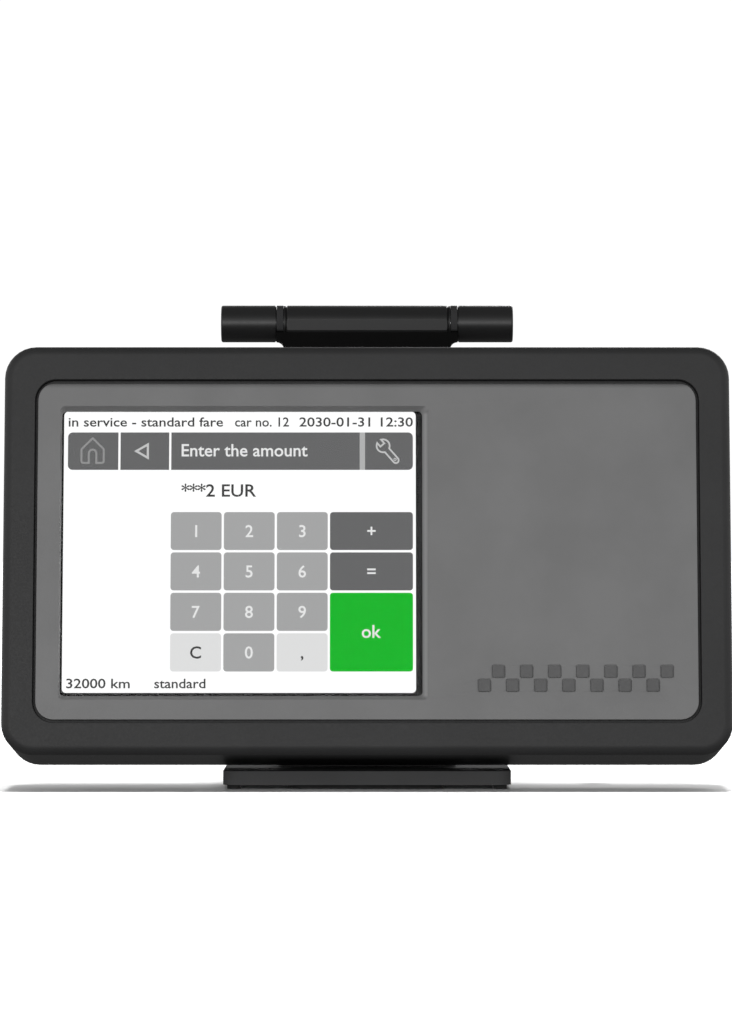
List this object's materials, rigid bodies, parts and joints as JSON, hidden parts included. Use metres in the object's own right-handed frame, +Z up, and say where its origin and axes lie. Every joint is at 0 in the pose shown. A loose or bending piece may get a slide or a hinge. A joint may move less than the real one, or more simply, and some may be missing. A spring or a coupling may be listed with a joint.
{
  "type": "taxi meter",
  "caption": "Wide in-car fare meter with a touch screen in a framed front panel, hung from a tilting hinge barrel on a low screwed-down stand.",
  "frame": {"origin": "middle of the base, on the surface that its rubber mat rests on", "axes": "+Z up, the screen faces -Y, +X to the right as the driver sees the screen"},
  "size_m": [0.1824, 0.088, 0.1239],
  "materials": {
    "case_plastic": "fine-textured dark grey moulding",
    "panel_plastic": "fine-textured mid grey moulding",
    "foam_black": "black foam",
    "touch_glass": "polished",
    "display_glass": "polished, lit from behind",
    "pressed_steel": "satin",
    "coated_steel": "black coating",
    "light_guide": "white moulding",
    "ribbon_film": "amber film",
    "board_laminate": "green laminate",
    "black_moulding": "black moulding",
    "cell_steel": "bright",
    "screw_steel": "zinc plated",
    "screw_black": "black oxide",
    "seal_red": "red moulding",
    "brass": "bright",
    "plate_aluminium": "brushed",
    "hinge_black": "semi-gloss black",
    "axle_steel": "ground",
    "nylon": "black",
    "stand_paint": "satin dark grey",
    "rubber_black": "black rubber"
  },
  "bodies": {
    "stand": {"stand_arm": "stand_paint", "stop_pad": "rubber_black", "arm_screws": "screw_steel", "base_plate": "stand_paint", "base_pads": "rubber_black", "hinge_axle": "axle_steel", "friction_washers": "nylon", "disc_springs": "axle_steel"},
    "case": {"front_housing": "case_plastic", "front_panel": "panel_plastic", "trim_squares": "panel_plastic", "window_gasket": "foam_black", "touch_glass": "touch_glass", "lcd_cell": "display_glass", "lcd_frame": "coated_steel", "backlight_unit": "light_guide", "display_ribbon": "ribbon_film", "main_board": "board_laminate", "processor_shield": "pressed_steel", "battery_holder": "black_moulding", "backup_cell": "cell_steel", "buzzer": "black_moulding", "board_screws": "screw_steel", "rear_cover": "case_plastic", "case_gasket": "rubber_black", "case_screws": "screw_black", "seal_caps": "seal_red", "io_connector": "pressed_steel", "power_inlet": "black_moulding", "antenna_socket": "brass", "antenna_nut": "brass", "rating_plate": "plate_aluminium", "hanger_plate": "hinge_black", "hanger_screws": "screw_black"},
    "left_knob": {"tension_knob_left": "hinge_black"},
    "right_knob": {"tension_knob_right": "hinge_black"}
  },
  "joints": [
    {"name": "case_tilt", "type": "hinge", "parent": "stand", "child": "case", "pos_m": [0, 0.006, 0.1191], "axis": [-1, 0, 0], "range_deg": [0, 35]},
    {"name": "left_tension", "type": "hinge", "parent": "stand", "child": "left_knob", "pos_m": [-0.03, 0.006, 0.1191], "axis": [-1, 0, 0], "range_deg": [0, 180]},
    {"name": "right_tension", "type": "hinge", "parent": "stand", "child": "right_knob", "pos_m": [0.03, 0.006, 0.1191], "axis": [1, 0, 0], "range_deg": [0, 180]}
  ]
}
